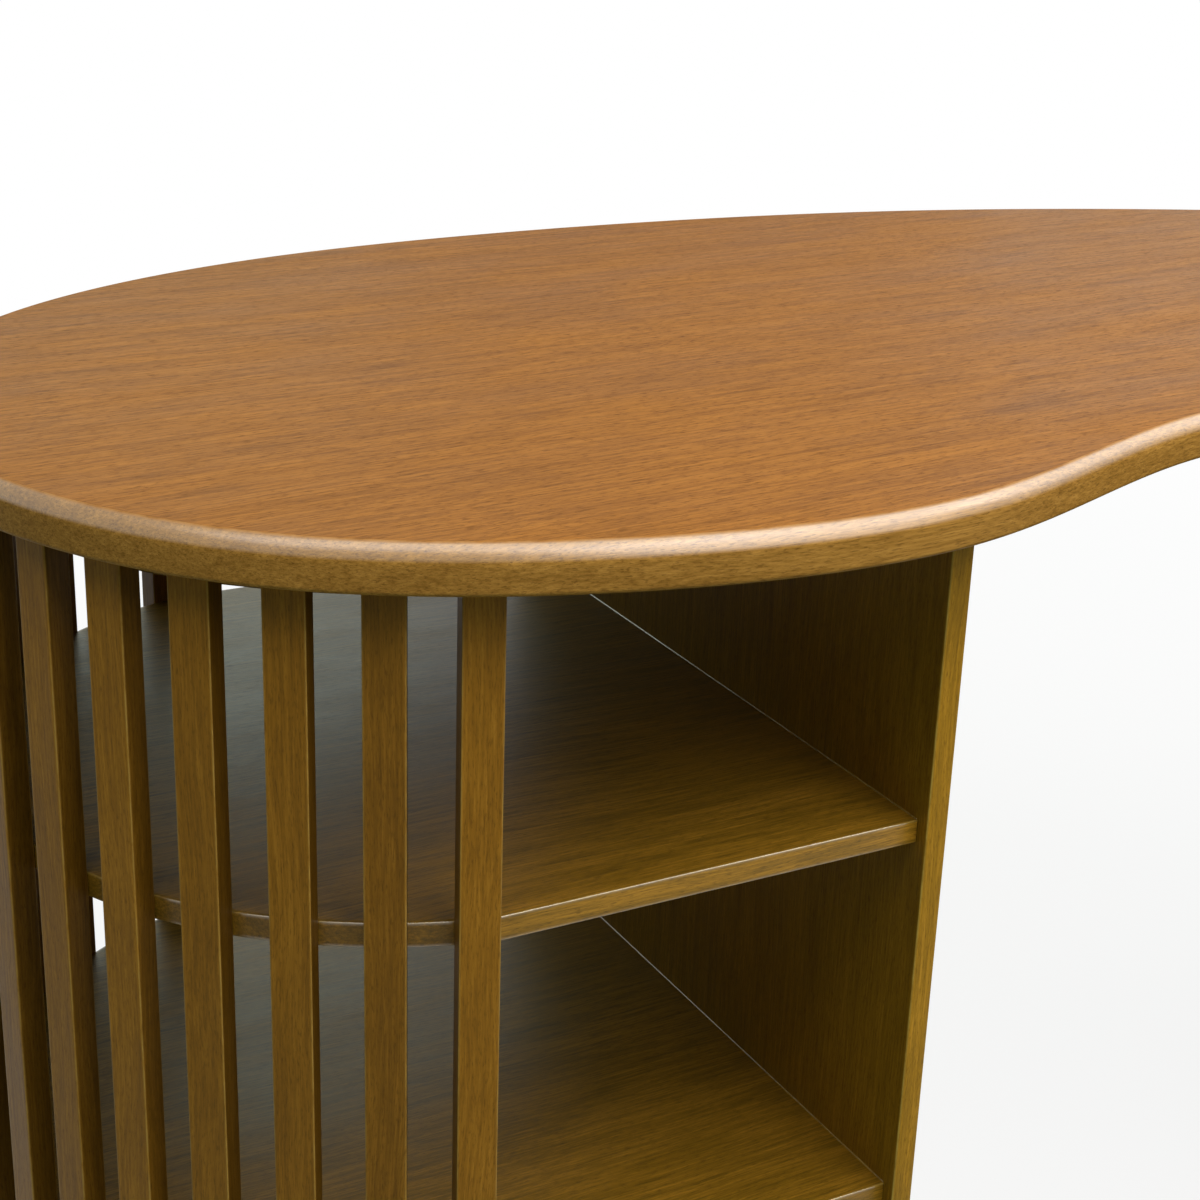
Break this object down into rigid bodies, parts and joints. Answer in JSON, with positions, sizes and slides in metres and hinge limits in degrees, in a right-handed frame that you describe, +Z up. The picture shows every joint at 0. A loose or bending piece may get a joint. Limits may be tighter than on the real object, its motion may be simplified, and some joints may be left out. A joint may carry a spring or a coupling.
{
  "type": "bar table",
  "caption": "Bar-height bean-shaped wooden table on two half-round shelf pedestals with upright slats, open to front and back.",
  "frame": {"origin": "on the floor, under the middle of the table's box", "axes": "+Z up, +X along the table's length to the right as seen from its hollow side, +Y away from the hollow side"},
  "size_m": [2.208, 1.0558, 1.05],
  "materials": {
    "top_wood": "walnut stain under satin lacquer, grain along the length",
    "board_wood": "walnut stain under satin lacquer, grain along the front edge",
    "panel_wood": "walnut stain under satin lacquer, upright grain",
    "slat_wood": "walnut stain under satin lacquer, upright grain, eased edges rubbed lighter",
    "foot_plastic": "dark matt moulded plastic",
    "bolt_steel": "bright zinc"
  },
  "bodies": {
    "root": {"top": "top_wood", "left_base_board": "board_wood", "left_lower_shelf": "board_wood", "left_upper_shelf": "board_wood", "left_crown_board": "board_wood", "left_side_panel": "panel_wood", "left_slat_01": "slat_wood", "left_slat_02": "slat_wood", "left_slat_03": "slat_wood", "left_slat_04": "slat_wood", "left_slat_05": "slat_wood", "left_slat_06": "slat_wood", "left_slat_07": "slat_wood", "left_slat_08": "slat_wood", "left_slat_09": "slat_wood", "left_slat_10": "slat_wood", "left_slat_11": "slat_wood", "left_slat_12": "slat_wood", "left_slat_13": "slat_wood", "left_slat_14": "slat_wood", "left_slat_15": "slat_wood", "left_slat_16": "slat_wood", "left_foot_1": "foot_plastic", "left_foot_2": "foot_plastic", "left_foot_3": "foot_plastic", "left_foot_4": "foot_plastic", "left_bolt_1": "bolt_steel", "left_bolt_2": "bolt_steel", "left_bolt_3": "bolt_steel", "left_bolt_4": "bolt_steel", "right_base_board": "board_wood", "right_lower_shelf": "board_wood", "right_upper_shelf": "board_wood", "right_crown_board": "board_wood", "right_side_panel": "panel_wood", "right_slat_01": "slat_wood", "right_slat_02": "slat_wood", "right_slat_03": "slat_wood", "right_slat_04": "slat_wood", "right_slat_05": "slat_wood", "right_slat_06": "slat_wood", "right_slat_07": "slat_wood", "right_slat_08": "slat_wood", "right_slat_09": "slat_wood", "right_slat_10": "slat_wood", "right_slat_11": "slat_wood", "right_slat_12": "slat_wood", "right_slat_13": "slat_wood", "right_slat_14": "slat_wood", "right_slat_15": "slat_wood", "right_slat_16": "slat_wood", "right_foot_1": "foot_plastic", "right_foot_2": "foot_plastic", "right_foot_3": "foot_plastic", "right_foot_4": "foot_plastic", "right_bolt_1": "bolt_steel", "right_bolt_2": "bolt_steel", "right_bolt_3": "bolt_steel", "right_bolt_4": "bolt_steel"}
  },
  "joints": []
}
